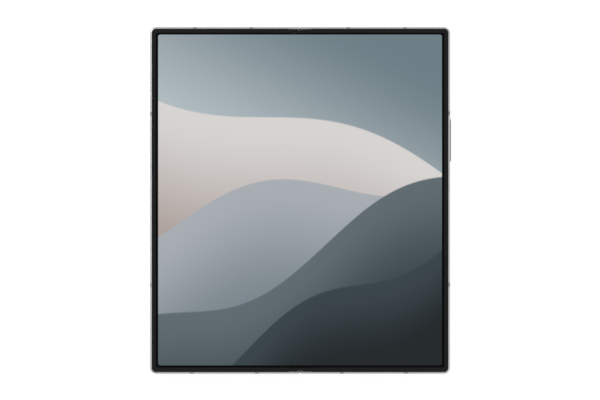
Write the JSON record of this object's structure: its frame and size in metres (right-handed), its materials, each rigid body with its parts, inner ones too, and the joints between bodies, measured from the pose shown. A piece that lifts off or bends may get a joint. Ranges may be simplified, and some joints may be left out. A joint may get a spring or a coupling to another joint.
{
  "type": "foldable smartphone",
  "caption": "Foldable smartphone that opens like a book, with geared hinge, folding inner display, outer display, rear camera island, keys and card tray",
  "frame": {"origin": "under the middle of the fold, on the surface that the opened phone lies on, below the camera's lowest face", "axes": "+X across the opened screen towards the half with the keys, +Y along the fold towards the top, +Z out of the screen"},
  "size_m": [0.1332, 0.1536, 0.007],
  "materials": {
    "frame_metal": "bead-blasted and anodised, satin",
    "antenna_plastic": "moulded insert, blasted with the frame",
    "rim_plastic": "fine matt moulded rim",
    "folding_display": "folding display under a clear film",
    "spring_steel": "rolled sheet",
    "back_glass": "satin etched, coated inside",
    "black_glass": "polished, black behind",
    "island_metal": "blasted plate with polished edge",
    "ring_metal": "turned",
    "lens_glass": "coated lens cover",
    "black_plastic": "moulded",
    "flash_diffuser": "moulded lens",
    "circuit_board": "solder mask",
    "shield_can": "tinned sheet",
    "battery_pouch": "foil pouch",
    "coil_copper": "enamelled copper winding",
    "port_steel": "drawn shell",
    "contact_brass": "stamped and plated",
    "magnet_nickel": "nickel plated",
    "flex_film": "polyimide film",
    "hinge_steel": "moulded from metal powder, deburred",
    "screw_steel": "blackened",
    "spine_metal": "anodised, satin",
    "outer_screen": "display stack"
  },
  "bodies": {
    "main_half": {"main_frame": "frame_metal", "main_antenna_breaks": "antenna_plastic", "main_rim": "rim_plastic", "main_hinge_caps": "rim_plastic", "main_display_panel": "folding_display", "main_support_plate": "spring_steel", "rear_glass": "back_glass", "camera_island": "island_metal", "camera_rings": "ring_metal", "camera_lens_glass": "lens_glass", "camera_modules": "black_plastic", "flash_lens": "flash_diffuser", "main_board": "circuit_board", "board_shields": "shield_can", "board_screws": "screw_steel", "main_battery": "battery_pouch", "charging_coil": "coil_copper", "usb_port": "port_steel", "sub_board": "circuit_board", "lower_speaker": "black_plastic", "vibration_motor": "shield_can", "key_switches": "contact_brass", "main_swing_arms": "hinge_steel", "main_arm_screws": "screw_steel", "inner_camera": "black_plastic", "main_magnets": "magnet_nickel", "main_flex": "flex_film"},
    "spine": {"spine_cover": "spine_metal", "hinge_blocks": "hinge_steel", "block_screws": "screw_steel", "friction_stacks": "contact_brass", "centre_pads": "rim_plastic", "display_fold": "folding_display", "flex_bend": "flex_film"},
    "cover_half": {"cover_frame": "frame_metal", "cover_antenna_breaks": "antenna_plastic", "cover_rim": "rim_plastic", "cover_hinge_caps": "rim_plastic", "cover_display_panel": "folding_display", "cover_support_plate": "spring_steel", "cover_glass": "black_glass", "outer_display": "outer_screen", "outer_camera": "black_plastic", "earpiece_speaker": "black_plastic", "cover_battery": "battery_pouch", "cover_board": "circuit_board", "cover_swing_arms": "hinge_steel", "cover_arm_screws": "screw_steel", "cover_magnets": "magnet_nickel", "sim_reader": "shield_can", "cover_flex": "flex_film"},
    "main_sync": {"main_sync_shafts": "hinge_steel"},
    "cover_sync": {"cover_sync_shafts": "hinge_steel"},
    "main_idler": {"main_idler_gears": "contact_brass"},
    "cover_idler": {"cover_idler_gears": "contact_brass"},
    "volume_key": {"volume_key": "frame_metal"},
    "side_key": {"side_key": "frame_metal"},
    "sim_tray": {"sim_tray": "frame_metal"}
  },
  "joints": [
    {"name": "main_hinge", "type": "hinge", "parent": "spine", "child": "main_half", "pos_m": [0.00163, 0, 0.00582], "axis": [0, -1, 0], "range_deg": [0, 90], "deforming": ["display_fold", "flex_bend"]},
    {"name": "cover_hinge", "type": "hinge", "parent": "spine", "child": "cover_half", "pos_m": [-0.00163, 0, 0.00582], "axis": [0, 1, 0], "range_deg": [0, 90]},
    {"name": "main_sync_turn", "type": "hinge", "parent": "spine", "child": "main_sync", "pos_m": [0.003, 0, 0.00445], "axis": [0, 1, 0], "range_deg": [-90, 0]},
    {"name": "cover_sync_turn", "type": "hinge", "parent": "spine", "child": "cover_sync", "pos_m": [-0.003, 0, 0.00445], "axis": [0, 1, 0], "range_deg": [0, 90]},
    {"name": "main_idler_turn", "type": "hinge", "parent": "spine", "child": "main_idler", "pos_m": [0.00112, 0, 0.00445], "axis": [0, 1, 0], "range_deg": [0, 60]},
    {"name": "cover_idler_turn", "type": "hinge", "parent": "spine", "child": "cover_idler", "pos_m": [-0.00112, 0, 0.00445], "axis": [0, 1, 0], "range_deg": [-60, 0]},
    {"name": "volume_rock", "type": "hinge", "parent": "main_half", "child": "volume_key", "pos_m": [0.0654, 0.0266, 0.00395], "axis": [0, 0, 1], "range_deg": [-1.5, 1.5], "stiffness_Nm_per_rad": 0.3},
    {"name": "side_press", "type": "slide", "parent": "main_half", "child": "side_key", "axis": [-1, 0, 0], "range_m": [0, 0.00025], "stiffness_N_per_m": 1500},
    {"name": "tray_slide", "type": "slide", "parent": "cover_half", "child": "sim_tray", "axis": [-1, 0, 0], "range_m": [0, 0.02]}
  ],
  "couplings": [
    {"joint": "cover_hinge", "follows": "main_hinge", "ratio": 1},
    {"joint": "main_sync_turn", "follows": "main_hinge", "ratio": -1},
    {"joint": "cover_sync_turn", "follows": "main_hinge", "ratio": 1},
    {"joint": "main_idler_turn", "follows": "main_hinge", "ratio": 0.66667},
    {"joint": "cover_idler_turn", "follows": "main_hinge", "ratio": -0.66667}
  ]
}
